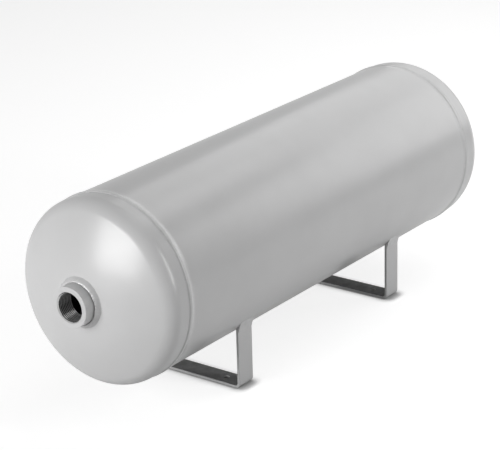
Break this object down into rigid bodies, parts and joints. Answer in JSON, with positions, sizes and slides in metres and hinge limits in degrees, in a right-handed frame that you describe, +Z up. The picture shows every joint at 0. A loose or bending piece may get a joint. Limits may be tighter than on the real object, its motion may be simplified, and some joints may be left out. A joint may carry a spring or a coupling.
{
  "type": "compressed air tank",
  "caption": "Horizontal welded steel tank for compressed air, with dished heads, a threaded port in the middle of each end, a drain port underneath and flat bar feet.",
  "frame": {"origin": "on the floor, under the middle of the tank", "axes": "+X along the tank from the front end towards the rear end, +Y to the left as seen from the front end looking along the tank, +Z up"},
  "size_m": [0.6938, 0.2086, 0.2493],
  "materials": {
    "silver_paint": "satin",
    "painted_weld": "satin"
  },
  "bodies": {
    "root": {"shell": "silver_paint", "front_head": "silver_paint", "rear_head": "silver_paint", "front_port_socket": "silver_paint", "rear_port_socket": "silver_paint", "drain_socket": "silver_paint", "front_girth_weld": "painted_weld", "rear_girth_weld": "painted_weld", "shell_seam_weld": "painted_weld", "front_socket_weld": "painted_weld", "rear_socket_weld": "painted_weld", "drain_socket_weld": "painted_weld", "front_foot": "silver_paint", "rear_foot": "silver_paint", "front_foot_left_weld": "painted_weld", "front_foot_right_weld": "painted_weld", "rear_foot_left_weld": "painted_weld", "rear_foot_right_weld": "painted_weld"}
  },
  "joints": []
}
